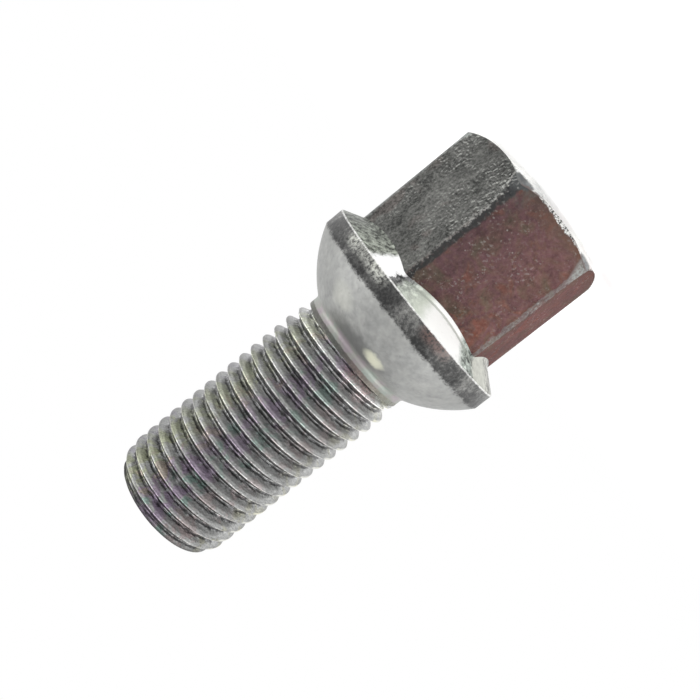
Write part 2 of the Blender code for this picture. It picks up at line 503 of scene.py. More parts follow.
@dataclass(frozen=True)
class SideFinish(ZincFinish):
    """The hexagon's forged sides: grainy grey, with a red-brown tarnish over neighbouring sides."""

    name: str = "forged_side_zinc"
    metallic: float = 0.40
    specular: float = 0.2
    roughness: float = 0.44
    grain_size: float = 0.00016
    bump_height: float = 0.000016
    corner_reach: float = 0.00966
    tarnish_azimuth: float = -60.0
    tarnish_dullness: float = 0.24
    film_metal_loss: float = 0.34

    fine: Noise = Noise(0.00030, 5.0, 0.7)
    flecks: Noise = Noise(0.00020, 3.0, 0.7)
    spots: Noise = Noise(0.0006, twist=0.8)
    blotch: Noise = Noise(0.0008, 3.0, 0.65, 0.4)
    patch: Noise = Noise(0.0009, 2.0)
    cloud: Noise = Noise(0.0022, twist=0.6)
    coarse: Noise = Noise(0.0026, twist=0.5)
    stain: Noise = Noise(0.0027, 3.0, 0.6, 0.5)
    cast: Noise = Noise(0.0031, 1.0, twist=0.4)
    broad: Noise = Noise(0.0045, 2.0, twist=0.3)
    drift: Noise = Noise(0.0050, 4.0, 0.6, 0.5)

    dark_grey: Colour = (0.034, 0.035, 0.033)
    light_grey: Colour = (0.215, 0.216, 0.203)
    cast_colour: Colour = (1.0, 0.72, 0.70)
    brown: Colour = (0.190, 0.112, 0.102)
    mauve: Colour = (0.188, 0.102, 0.112)
    red: Colour = (0.240, 0.108, 0.090)
    orange: Colour = (0.300, 0.110, 0.062)
    olive: Colour = (0.165, 0.124, 0.098)
    lit_bump: Colour = (0.62, 0.63, 0.59)
    flake: Colour = (0.60, 0.58, 0.55)
    stains: Stops = ((0.36, olive), (0.45, brown), (0.52, mauve), (0.58, brown), (0.66, red))
    chipped: Stops = ((0.42, grey(0.03)), (0.50, (0.80, 0.80, 0.78)), (0.60, (1.0, 1.0, 0.98)))
    # Painted shade that differs from side to side over the tarnish, with a redder cast on the side at -90
    # degrees.
    shade: Stops = (
        (-180.0, grey(0.90)),
        (-130.0, grey(0.90)),
        (-110.0, (0.73, 0.45, 0.40)),
        (-64.0, (0.73, 0.45, 0.40)),
        (-56.0, (1.00, 0.94, 0.88)),
        (-36.0, (0.90, 0.86, 0.82)),
        (-8.0, grey(0.66)),
        (180.0, grey(0.90)),
    )

    def zone(self, on: Surface) -> Field:
        """Where the forging is coarse: in patches, and more of them toward the crown."""
        return (on.noise(self.coarse) - on.z * 24.0).step(0.30, 0.52)

    def roughened(self, on: Surface) -> Operand:
        """Stronger grain where the forging is coarse."""
        return self.zone(on) * 2.0 + 0.7

    def tarnish(self, on: Surface) -> Field:
        """Where the tarnish is: on two neighbouring sides, and thinly on the far side.

        Args:
            on: the surface.

        Returns:
            The tarnish's share.
        """
        toward = (on.azimuth - math.radians(self.tarnish_azimuth)).math("COSINE")
        near = (toward + (on.noise(self.fine) - 0.5) * 0.02).step(0.47, 0.52)
        return near + (toward + (on.noise(self.drift) - 0.5) * 0.9).step(-0.80, -1.05) * 0.55

    def gloss(self, on: Surface) -> Field:
        """The tarnish is duller than the zinc."""
        return super().gloss(on) + self.tarnish(on) * self.tarnish_dullness

    def metal(self, on: Surface) -> Operand:
        """The reddest side is a dull film that hardly mirrors."""
        return self.metallic - on.sector(-119.0, -61.0, 2.0) * self.film_metal_loss

    def plain(self, on: Surface) -> Field:
        """The plain sides' green-grey grain with a faint red cast in places.

        Args:
            on: the surface.

        Returns:
            The colour.
        """
        level = on.noise(self.fine) * 2.6 + on.noise(self.cloud) * 1.6 - 1.65
        plain = on.mix(level, self.dark_grey, self.light_grey)
        return on.mix(on.noise(self.cast).step(0.56, 0.66) * 0.35, plain, on.times(plain, self.cast_colour))

    def stained(self, on: Surface) -> Field:
        """The tarnish: brown, mauve and olive clouds, with orange spots toward the collar.

        Args:
            on: the surface.

        Returns:
            The colour.
        """
        fine = on.noise(self.fine)
        level = fine * 1.1 + on.noise(self.broad) * 0.8 + on.noise(self.blotch) * 1.1 - 0.50
        spots = on.noise(self.spots).step(0.54, 0.70) * on.z.step(0.0080, 0.0135) * on.sector(-60.0, -36.0, 8.0)
        border = (on.z + (fine - 0.5) * 0.0012).step(0.0026, 0.0010)
        stained = on.layered(
            on.scaled(on.ramp(on.noise(self.stain), self.stains), level),
            ((spots * 0.45, self.orange), (border * 0.5, self.olive)),
        )
        # The tarnish takes painted shade that differs from side to side.
        return on.times(stained, on.around(self.shade))

    def cornered(self, on: Surface, colour: Field) -> Operand:
        """Lay painted shade and painted highlights along the corners, partly wear, and facets where they meet
        the crown, painted dark on one corner and pale on the rest.

        Args:
            on: the surface.
            colour: the sides' colour.

        Returns:
            The sides' colour with their corners.
        """
        fine, z = on.noise(self.fine), on.z
        patch = on.noise(self.patch) - 0.5
        off = on.fold(0.0) * self.corner_reach + (fine - 0.5) * 0.0005 + patch * 0.0007
        shaded_corner = on.sector(-20.0, 20.0, 6.0)
        lit_corners = 1.0 - shaded_corner
        low = z.step(0.0046, 0.0020)
        half = (0.0042 - z).math("MAXIMUM", 0.0) * 0.34
        # Facets where the corners meet the crown: painted shade on the corner at 0 degrees, painted light on
        # the others.
        facets = (half + patch * 0.0006 - (off - 0.00005).math("ABSOLUTE")).step(0.0, 0.00030) * low
        facet_tone = on.mix(z.step(0.0026, 0.0015), (0.050, 0.052, 0.054), (0.105, 0.110, 0.112))
        speckle = (fine * 4.0 - 1.7).clipped()
        # Painted shade beside the corner at 0 degrees, with a thin painted highlight on it that is partly wear,
        # and a grey painted highlight along the other corners.
        dark = off.band(-0.00042, -0.00004, 0.00026) * shaded_corner
        near = off.band(-0.0013, -0.0006, 0.0008) * low * shaded_corner
        thin = (off - half).band(0.00006, 0.00026, 0.00014) * shaded_corner * speckle * z.step(0.0150, 0.0020)
        wide = off.band(-0.00034, 0.00026, 0.00012) * lit_corners * (speckle * 0.6 + 0.3)
        layers = (
            (dark * (1.15 - speckle * 0.45), grey(0.050)),
            (near * (0.22 + patch * 2.0), (0.150, 0.160, 0.150)),
            (facets * shaded_corner * 0.95, facet_tone),
            (thin * 0.8, (0.66, 0.67, 0.64)),
            (wide * 0.8, (0.31, 0.33, 0.32)),
            (facets * lit_corners * (speckle * 0.5 + 0.35), (0.50, 0.54, 0.52)),
        )
        return on.layered(colour, layers)

    def tint(self, on: Surface) -> Operand:
        """Grey and tarnished sides, with corners of painted shade and highlight that are partly wear, painted
        lit and shaded bumps, and bright specks.

        Args:
            on: the surface.

        Returns:
            The colour.
        """
        fine, cloud = on.noise(self.fine), on.noise(self.cloud)
        tarnish = self.tarnish(on)
        # Painted light and shade of small bumps, spread more where the forging is coarse and in cloudy patches.
        bumps = on.embossed(0.00028, SMALL_LEAN)
        painted_bump_spread = cloud.step(0.48, 0.66) * 0.20 + 0.04
        share = (1.0 - tarnish).math("MAXIMUM", 0.0) * self.zone(on) * 0.50 + painted_bump_spread
        flakes = on.cells(0.0010).step(0.10, 0.05) * cloud.step(0.50, 0.58)
        end = (on.z + (fine - 0.5) * 0.0006 + (cloud - 0.5) * 0.0006).step(0.00086, 0.00074)
        layers = (
            (bumps.step(0.06, 0.26) * share, self.lit_bump),
            (bumps.step(-0.05, -0.20) * share, grey(0.018)),
            (flakes * 0.4, self.flake),
            (end * on.sector(-57.0, -4.0, 4.0), on.ramp(on.noise(self.flecks), self.chipped)),
        )
        return on.layered(self.cornered(on, on.mix(tarnish, self.plain(on), self.stained(on))), layers)


@dataclass(frozen=True)
class CrownFinish(ZincFinish):
    """The crown and the dish: zinc that is rubbed and nicked by sockets."""

    name: str = "crown_zinc"
    metallic: float = 0.95
    roughness: float = 0.30
    inradius: float = 0.0085

    fine: Noise = Noise(0.00035, 4.0, 0.7)
    smudge: Noise = Noise(0.0014, 3.0, 0.6)
    cast: Noise = Noise(0.0035, 1.0)

    colour: Colour = (0.98, 0.98, 0.96)
    nick: Colour = (0.150, 0.150, 0.154)
    rose: Colour = (0.46, 0.34, 0.34)
    speck: Colour = (0.95, 0.95, 0.93)
    shaded_grey: Colour = (0.42, 0.44, 0.45)
    worn_grey: Colour = (0.200, 0.205, 0.200)
    worn_brown: Colour = (0.190, 0.120, 0.108)
    # Painted shade on the crown's corners: darkest at the corner at 0 degrees.
    corner_shade_tones: Stops = ((0.0, (0.085, 0.089, 0.093)), (-60.0, (0.300, 0.315, 0.320)))

    def gloss(self, on: Surface) -> Field:
        """The crown's corners are duller than its middle."""
        return super().gloss(on) + on.radius.step(0.0086, 0.0092) * 0.25

    def tint(self, on: Surface) -> Operand:
        """Pale grey with dark nick spots, bright specks, a faint rose cast, and corners and a patch by the
        corner at 0 degrees darkened with painted shade.

        Args:
            on: the surface.

        Returns:
            The colour.
        """
        fine, smudge = on.noise(self.fine), on.noise(self.smudge)
        unmarked = (fine * 2.4 + smudge * 0.8 - 0.85).step(0.0, 0.40)
        outer = (on.radius + (fine - 0.5) * 0.0006).step(0.00865, 0.00895)
        inward = self.inradius - on.flat_reach()
        wear_and_highlight = (inward + (fine - 0.5) * 0.0011 + (smudge - 0.5) * 0.0008).step(0.00028, 0.00004)
        layers = [
            (on.noise(self.cast).step(0.50, 0.70) * 0.35, self.rose),
            (fine.step(0.60, 0.68) * 0.8, self.speck),
        ]
        # Painted shade at two corners.
        for turn, tone in self.corner_shade_tones:
            corner = on.sector(turn - 5.5, turn + 5.5, 2.5) * outer
            layers.append((corner * 0.92, on.scaled(tone, fine * 1.8)))
        layers += [
            # Painted shade beside the corner at 0 degrees.
            (on.sector(-24.0, -2.0, 3.0) * smudge.step(0.60, 0.40) * 0.5, self.shaded_grey),
            (wear_and_highlight * 0.8, on.mix(on.sector(-118.0, -2.0, 3.0) * 0.7, self.worn_grey, self.worn_brown)),
        ]
        return on.layered(on.mix(unmarked, self.nick, self.colour), layers)


@dataclass(frozen=True)
class PaintedLightSpot:
    """A soft oval spot of painted light, bright for a highlight and dark for a shadow: its middle and half
    sizes, in degrees about the axis and metres from it.
    """

    turn: float
    place: float
    half_turn: float
    half_width: float
    share: float
    tone: Colour

    def spread(self, on: Surface, radius: Field) -> Field:
        """How much of the mark shows.

        Args:
            on: the surface.
            radius: the distance from the axis.

        Returns:
            The mark's share in the middle, 0 outside.
        """
        along = (on.azimuth - math.radians(self.turn)) / math.radians(self.half_turn)
        across = (radius - self.place) / self.half_width
        return (along * along + across * across).step(1.0, 0.0) * self.share


@dataclass(frozen=True)
class CollarFinish(ZincFinish):
    """Foot, shoulder, rim, land, ball seat and neck."""

    name: str = "collar_zinc"
    metallic: float = 0.5
    roughness: float = 0.44
    collar_radius: float = 0.01146
    rim_height: float = 0.0149
    land_end: float = 0.0168
    neck_radius: float = 0.0065
    neck_end: float = 0.022962
    inradius: float = 0.0085
    foot_width: float = 0.0002
    shoulder_metal: float = 0.75
    shoulder_swell: float = 0.42

    fine: Noise = Noise(0.00030, 5.0, 0.7)
    sparkle: Noise = Noise(0.00055, 3.0, 0.75)
    blotch: Noise = Noise(0.0011, 4.0, 0.6, 0.4)
    pastel: Noise = Noise(0.0016, 2.0)
    cloud: Noise = Noise(0.0022, twist=0.5)

    seat_grey: Colour = (0.270, 0.274, 0.268)
    seat_light: Colour = (0.370, 0.372, 0.358)
    # The rim's colour is a painted highlight.
    rim: Colour = (0.95, 0.95, 0.93)
    foot: Colour = (0.34, 0.37, 0.32)
    rust: Colour = (0.24, 0.12, 0.10)
    lit_land: Colour = (0.70, 0.71, 0.65)
    crease_shade: Colour = (0.160, 0.165, 0.160)
    land_tones: Stops = ((0.0, grey(0.035)), (0.32, (0.105, 0.105, 0.103)), (0.8, (0.40, 0.40, 0.38)))
    pastels: Stops = ((0.38, (0.41, 0.48, 0.42)), (0.50, (0.46, 0.45, 0.41)), (0.62, (0.49, 0.40, 0.45)))
    # Painted light on the seat: a painted shadow beside the neck, then two painted highlights.
    painted_light_spots: tuple[PaintedLightSpot, ...] = (
        PaintedLightSpot(-8.0, 0.0074, 34.0, 0.0020, 0.75, (0.120, 0.122, 0.118)),
        PaintedLightSpot(-26.0, 0.0082, 10.5, 0.0008, 0.85, (0.86, 0.86, 0.68)),
        PaintedLightSpot(13.0, 0.0097, 12.0, 0.0011, 0.26, (0.66, 0.66, 0.58)),
    )
    # Painted reflections on the shoulder about the axis: white painted highlights between pale and dark runs.
    painted_reflections: Stops = (
        (-180.0, (0.45, 0.46, 0.43)),
        (-130.0, (0.30, 0.32, 0.28)),
        (-104.0, (0.34, 0.34, 0.32)),
        (-84.0, (0.42, 0.42, 0.38)),
        (-78.0, (0.58, 0.585, 0.53)),
        (-63.0, (0.58, 0.585, 0.53)),
        (-60.0, (0.22, 0.24, 0.22)),
        (-51.0, (0.42, 0.46, 0.42)),
        (-47.0, (0.95, 0.95, 0.93)),
        (-26.0, (0.95, 0.95, 0.93)),
        (-18.0, (0.60, 0.64, 0.56)),
        (-7.0, (0.48, 0.51, 0.46)),
        (-3.0, grey(0.16)),
        (0.0, grey(0.14)),
        (1.5, WHITE),
        (13.0, WHITE),
        (16.0, (0.28, 0.30, 0.26)),
        (52.0, (0.16, 0.17, 0.15)),
        (75.0, (0.17, 0.18, 0.16)),
        (110.0, (0.80, 0.82, 0.78)),
        (150.0, (0.30, 0.31, 0.29)),
        (180.0, (0.45, 0.46, 0.43)),
    )
    # Painted shade of the thread's last hollow, which lies on the neck's end, with a brownish tarnish on two
    # sides.
    groove_shade_tones: Stops = (
        (-180.0, (0.220, 0.220, 0.210)),
        (-75.0, (0.300, 0.310, 0.250)),
        (-48.0, (0.290, 0.260, 0.220)),
        (-30.0, (0.200, 0.140, 0.130)),
        (-8.0, (0.090, 0.088, 0.080)),
        (45.0, (0.110, 0.115, 0.090)),
        (90.0, (0.220, 0.220, 0.210)),
        (180.0, (0.220, 0.220, 0.210)),
    )

    def below_rim(self, on: Surface) -> Field:
        """1 on the shoulder and foot, 0 on the land, seat and neck."""
        return on.z.step(self.rim_height + 0.00003, self.rim_height - 0.00003)

    def metal(self, on: Surface) -> Operand:
        """The shoulder mirrors more than the seat."""
        return self.below_rim(on) * (self.shoulder_metal - self.metallic) + self.metallic

    def swell(self, on: Surface) -> Operand:
        """The shoulder bulges a little toward the rim."""
        return (self.collar_radius - on.radius) * self.below_rim(on) * self.shoulder_swell

    def shoulder(self, on: Surface) -> Field:
        """The shoulder's painted reflections: white, pale and dark runs about the axis, with ragged ends.

        Args:
            on: the surface.

        Returns:
            The colour.
        """
        fine = on.noise(self.fine) - 0.5
        painted_reflections = on.around(self.painted_reflections, (on.noise(self.cloud) - 0.5) * 0.22 + fine * 0.10)
        whole = on.parts(painted_reflections)[0].step(0.32, 0.66)
        grain = on.mix(whole, (on.noise(self.sparkle) * 6.0 - 2.1).math("MAXIMUM", 0.25), WHITE)
        outward = on.flat_reach() - self.inradius
        # A darker painted reflection along the foot of two sides.
        stripe = (outward + fine * 0.0002).band(self.foot_width * 1.3, self.foot_width * 2.2, 0.00010)
        return on.mix(stripe * on.sector(-58.0, -4.0, 3.0) * 0.60, on.times(painted_reflections, grain), self.foot)

    def land(self, on: Surface) -> Operand:
        """The land: darkest beside the seat, with painted pale sparkles of light and one reddish patch.

        Args:
            on: the surface.

        Returns:
            The colour.
        """
        fine = on.noise(self.fine)
        across = (self.land_end - on.z) / (self.land_end - self.rim_height)
        tone = across * 0.26 + fine * 1.2 + on.noise(self.cloud) - 0.965 + on.sector(-95.0, -45.0, 25.0) * 0.12
        rust = on.sector(-40.0, -28.0, 6.0) * across.step(0.3, 0.8) * fine.step(0.35, 0.6)
        # Painted sparkles of light on the upper land.
        lit = on.sector(5.0, 9.0, 5.0) + on.sector(25.0, 28.0, 4.0) + on.sector(3.0, 29.0, 6.0)
        lit = fine.step(0.36, 0.64) * lit * 0.5 * across.step(0.30, 0.70)
        return on.layered(on.ramp(tone, self.land_tones), ((rust * 0.5, self.rust), (lit, self.lit_land)))

    def seat(self, on: Surface) -> Operand:
        """The ball seat: clouded grey with soft painted lit and shaded bumps, one painted shadow and two
        painted highlights.

        Args:
            on: the surface.

        Returns:
            The colour.
        """
        blotch = on.noise(self.blotch)
        seat = on.mix(on.noise(self.cloud) * 1.2 + blotch * 1.6 - 0.9, self.seat_grey, self.seat_light)
        # Soft painted lit and shaded bumps.
        seat = on.scaled(seat, on.embossed(0.00055, WIDE_LEAN) * 0.32 + 1.0)
        uneven = on.radius + (blotch - 0.5) * 0.0010
        return on.layered(seat, [(mark.spread(on, uneven), mark.tone) for mark in self.painted_light_spots])

    def tint(self, on: Surface) -> Operand:
        """The collar's bands from the shoulder to the neck, with a painted highlight on the rim, painted shade
        on the neck's fillet, and the painted shade of the thread's last hollow on the neck's end.

        Args:
            on: the surface.

        Returns:
            The colour.
        """
        fine = on.noise(self.fine)
        edge = on.z + (fine - 0.5) * 0.0011 + (on.noise(self.cloud) - 0.5) * 0.0006
        # A painted highlight along the rim's rounded edge, broken by grain.
        line = on.z.band(self.rim_height - 0.00004, self.rim_height + 0.00006, 0.00004)
        # Painted shade on the neck's fillet, next to the neck.
        crease_shade = on.radius.band(self.neck_radius + 0.00008, self.neck_radius + 0.00025, 0.0001)
        neck = on.radius.step(self.neck_radius + 0.0009, self.neck_radius + 0.0002)
        # Painted shade of the thread's last hollow on the neck's end.
        groove_shade = (on.z + (fine - 0.5) * 0.0003).step(self.neck_end - 0.00054, self.neck_end - 0.00042)
        layers = (
            (edge.step(self.land_end - 0.00020, self.land_end + 0.00026), self.seat(on)),
            (self.below_rim(on), self.shoulder(on)),
            (line * (fine * 3.0 - 0.9).clipped(), self.rim),
            (crease_shade * 0.35, self.crease_shade),
            (neck * 0.5, on.ramp(on.noise(self.pastel), self.pastels)),
            (groove_shade * 0.85, on.scaled(on.around(self.groove_shade_tones), fine * 2.4 - 0.35)),
        )
        return on.layered(self.land(on), layers)


@dataclass(frozen=True)
class Film:
    """A tint in patches over part of the way about the axis."""

    start: float
    end: float
    low: float
    high: float
    colour: Colour


@dataclass(frozen=True)
class ThreadFinish(ZincFinish):
    """The rolled thread: pale flanks, roots and tip-facing flanks darkened with painted shade, painted
    highlights on the crest edges over partly rubbed zinc, and a thin rainbow film.
    """

    name: str = "rolled_thread_zinc"
    metallic: float = 0.5
    roughness: float = 0.34
    grain_size: float = 0.00012
    bump_height: float = 0.000008
    pitch: float = 0.0015
    crest_at_x: float = 0.046362
    tip: float = 0.047762
    neck_end: float = 0.022962
    face_radius: float = 0.0055

    streak: Noise = Noise(0.00018, 3.0, 0.7)
    fine: Noise = Noise(0.00022, 4.0, 0.7)
    patches: Noise = Noise(0.0017, 2.0, twist=0.6)
    cloud: Noise = Noise(0.0020, twist=0.5)
    lengthwise: Noise = Noise(0.0025, 1.0)

    dark: Colour = (0.100, 0.100, 0.102)
    root: Colour = (0.480, 0.480, 0.470)
    deep_flank: Colour = (0.500, 0.505, 0.500)
    flank: Colour = (0.300, 0.303, 0.297)
    crest: Colour = (0.420, 0.420, 0.405)
    wear_and_highlight: Colour = (0.95, 0.95, 0.92)
    limb_reflection: Colour = (0.90, 0.90, 0.82)
    back: Colour = (0.230, 0.231, 0.226)
    face: Colour = (0.300, 0.302, 0.296)
    pink: Colour = (1.0, 0.74, 0.76)
    # Painted light along the helix: painted shade in the roots and on the flanks that face the tip, a thin
    # painted highlight in the middle of each root, flanks painted lighter toward the root against the shade
    # there, and crests painted a little brighter as a highlight.
    helix: Stops = (
        (0.000, root),
        (0.040, dark),
        (0.130, dark),
        (0.190, deep_flank),
        (0.400, flank),
        (0.540, flank),
        (0.575, crest),
        (0.610, crest),
        (0.650, dark),
        (0.960, dark),
        (1.000, root),
    )
    # Painted light about the axis: the helix's bands are made lighter on some sides and darker on others.
    painted_light_about_axis: Stops = greys(
        (-180.0, 0.50),
        (-106.0, 0.40),
        (-90.0, 0.54),
        (-72.0, 0.56),
        (-62.0, 0.50),
        (-15.0, 0.42),
        (10.0, 0.48),
        (30.0, 0.58),
        (46.0, 0.40),
        (60.0, 0.34),
        (76.0, 0.30),
        (100.0, 0.44),
        (180.0, 0.50),
    )
    films: tuple[Film, ...] = (
        Film(14.0, 48.0, 0.40, 0.56, (0.94, 0.98, 0.70)),
        Film(-24.0, 10.0, 0.48, 0.56, (0.93, 0.74, 1.00)),
        Film(4.0, 22.0, 0.54, 0.62, (1.00, 0.86, 0.74)),
        Film(-60.0, -28.0, 0.50, 0.60, (1.00, 0.86, 0.86)),
        Film(-34.0, 0.0, 0.42, 0.35, (0.70, 0.97, 0.88)),
        Film(-180.0, -70.0, 0.50, 0.62, (1.00, 0.98, 0.82)),
        Film(60.0, 180.0, 0.50, 0.62, (0.92, 0.88, 1.00)),
    )

    def film(self, on: Surface) -> Operand:
        """Colours of a thin passivation film, in patches that differ about the axis.

        Args:
            on: the surface.

        Returns:
            The colour to multiply by.
        """
        patches = on.noise(self.patches)
        near_tip = on.z.step(self.tip - 0.0100, self.tip - 0.0040)
        strength = on.read(self.lengthwise, on.joined(0.0, 3.0, on.z)) * 0.8 + near_tip * 0.8 + 0.35
        layers = []
        for film in self.films:
            mask = on.sector(film.start, film.end, 8.0) * patches.step(film.low, film.high)
            layers.append((mask * strength, film.colour))
        return on.layered(WHITE, layers)

    def rounding(self, on: Surface) -> Field:
        """1 on the rounded edge of the tip."""
        return on.z.step(self.tip - 0.0005, self.tip - 0.0001)

    def gloss(self, on: Surface) -> Field:
        """The tip's rounded edge is duller than the rest."""
        return super().gloss(on) + self.rounding(on) * 0.55

    def banded(self, on: Surface) -> Operand:
        """Bands along the helix with painted light and shade, streaks, crest edges that are partly rubbed zinc
        and partly painted highlight, a painted reflection on one side, and plainer on the far side.

        Args:
            on: the surface.

        Returns:
            The colour.
        """
        fine, cloud = on.noise(self.fine), on.noise(self.cloud)
        streaks = on.read(self.streak, on.joined(on.x * 0.22, on.y * 0.22, on.z))
        turns = (on.z - self.crest_at_x) / self.pitch - on.azimuth / FULL_TURN
        across = (turns + (streaks - 0.5) * 0.06 + 0.5).math("FRACT")
        # The bands carry painted light and shade about the axis.
        bands = on.times(on.ramp(across, self.helix), on.around(self.painted_light_about_axis))
        deep = across.step(0.22, 0.16) + across.step(0.56, 0.64)
        mottle = (streaks * 1.2 + fine * 0.6 - 0.9) * (deep * 2.6 + 1.3)
        # Painted lit and shaded bumps in the mottle.
        mottle = mottle + on.embossed(0.00020, SMALL_LEAN) * 1.2 + cloud * 0.3 + 0.85
        bands = on.scaled(bands, mottle.math("MAXIMUM", 0.15) * 2.0)
        glints = streaks.step(0.53, 0.66) * deep * 0.26
        # Crest edges that are partly rubbed bright and partly a painted highlight.
        wear_and_highlight = across.band(0.560, 0.625, 0.02) * (fine * 1.6 + cloud * 0.8 - 1.2).step(-0.12, 0.16)
        # A painted reflection on the crests between azimuths -102 and -82 degrees.
        limb_reflection = on.sector(-102.0, -82.0, 5.0) * across.band(0.44, 0.60, 0.05)
        back = 1.0 - on.sector(-118.0, 92.0, 24.0)
        layers = ((wear_and_highlight * 0.9, self.wear_and_highlight), (limb_reflection * 0.75, self.limb_reflection), (back * 0.45, self.back))
        return on.layered(on.mix(1.0, bands, on.joined(glints, glints, glints), "ADD"), layers)

    def tint(self, on: Surface) -> Operand:
        """The helix's bands, the tip, the run-out at the neck, and the film over them.

        Args:
            on: the surface.

        Returns:
            The colour.
        """
        fine, z = on.noise(self.fine), on.z
        # Darker toward the tip, and painted shade on the tip's rounded edge.
        end = z.step(self.tip - 0.0013, self.tip - 0.0007) * 0.55
        bands = on.scaled(self.banded(on), 1.0 - end - self.rounding(on) * 0.38)
        face = on.radius.step(self.face_radius, self.face_radius - 0.0002)
        face = face * z.step(self.tip - 0.0002, self.tip - 0.0001)
        bands = on.mix(face, bands, on.scaled(self.face, on.noise(self.cloud) * 0.9 + fine * 0.6 + 0.25))
        run_out = z.step(self.neck_end + 0.0020, self.neck_end + 0.0008)
        bands = on.scaled(bands, run_out * 0.6 + 1.0)
        pink = on.sector(-52.0, -24.0, 10.0) * run_out * fine.step(0.4, 0.6)
        bands = on.mix(pink * 0.7, bands, on.times(bands, self.pink))
        return on.mix(0.9, bands, self.film(on), "MULTIPLY")


# Loft


class Loft:
    """A closed shell that is grown ring by ring from a circle."""

    def __init__(self, columns: int, height: float, slot: int) -> None:
        """Start with a circle that is closed to a point on the axis.

        Args:
            columns: vertices in each ring.
            height: height of the closing point.
            slot: material slot of the closing faces.
        """
        self.bm = bmesh.new()
        self.columns = columns
        self.ring = bmesh.ops.create_circle(self.bm, segments=columns, radius=MM)["verts"]
        self._close(height, slot)

    def _close(self, height: float, slot: int) -> None:
        """Close the ring to a point on the axis.

        Args:
            height: height of the point.
            slot: material slot of the closing faces.
        """
        edges = self._ring_edges()
        grown = bmesh.ops.extrude_edge_only(self.bm, edges=edges)["geom"]
        fresh = [item for item in grown if isinstance(item, bmesh.types.BMVert)]
        self._dress(grown, slot)
        for vertex in fresh:
            vertex.co = (0.0, 0.0, height)
        bmesh.ops.remove_doubles(self.bm, verts=fresh, dist=WELD_DISTANCE)

    def _ring_edges(self) -> list[bmesh.types.BMEdge]:
        """The edges of the open ring."""
        return [self.bm.edges.get(pair) for pair in zip(self.ring, self.ring[1:] + self.ring[:1])]

    def place(self, station: Station) -> None:
        """Move the open ring's vertices to a station.

        Args:
            station: azimuths of the vertices, and the point for each azimuth.
        """
        azimuths, point, _ = station
        for vertex, azimuth in zip(self.ring, azimuths):
            radius, height = point(azimuth)
            vertex.co = (radius * math.cos(azimuth), radius * math.sin(azimuth), height)

    @staticmethod
    def _dress(grown: list[object], slot: int) -> None:
        """Give the faces among some new geometry a material slot.

        Args:
            grown: the new geometry.
            slot: the material slot.
        """
        for item in grown:
            if isinstance(item, bmesh.types.BMFace):
                item.material_index = slot

    def grow(self, station: Station) -> None:
        """Extrude the open ring and move the new one to a station.

        Args:
            station: azimuths of the new vertices, the point for each azimuth, and the material slot.
        """
        grown = bmesh.ops.extrude_edge_only(self.bm, edges=self._ring_edges())["geom"]
        self._dress(grown, station[2])
        fresh = {item for item in grown if isinstance(item, bmesh.types.BMVert)}
        following = []
        for vertex in self.ring:
            neighbours = (edge.other_vert(vertex) for edge in vertex.link_edges)
            following.append(next(neighbour for neighbour in neighbours if neighbour in fresh))
        self.ring = following
        self.place(station)

    def finish(self, height: float, slot: int) -> bmesh.types.BMesh:
        """Close the last ring.

        Args:
            height: height of the closing point.
            slot: material slot of the closing faces.

        Returns:
            The closed shell, facing out.
        """
        self._close(height, slot)
        bmesh.ops.recalc_face_normals(self.bm, faces=self.bm.faces)
        return self.bm


def add_piece(name: str, bm: bmesh.types.BMesh, finishes: Sequence[ZincFinish]) -> bpy.types.Object:
    """Turn a bmesh into a shown piece of the bolt.

    Args:
        name: the piece's name.
        bm: its mesh, which is freed.
        finishes: its finishes, in the order of its material slots.

    Returns:
        The piece, riding on the bolt's body in place of the CAD node.
    """
    mesh = bpy.data.meshes.new(name)
    bm.to_mesh(mesh)
    bm.free()
    for finish in finishes:
        mesh.materials.append(finish.material())
    mesh.shade_smooth()
    piece = bpy.data.objects.new(name, mesh)
    bpy.context.scene.collection.objects.link(piece)
    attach(piece, BODY)
    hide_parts(NODE)
    return piece


# Head


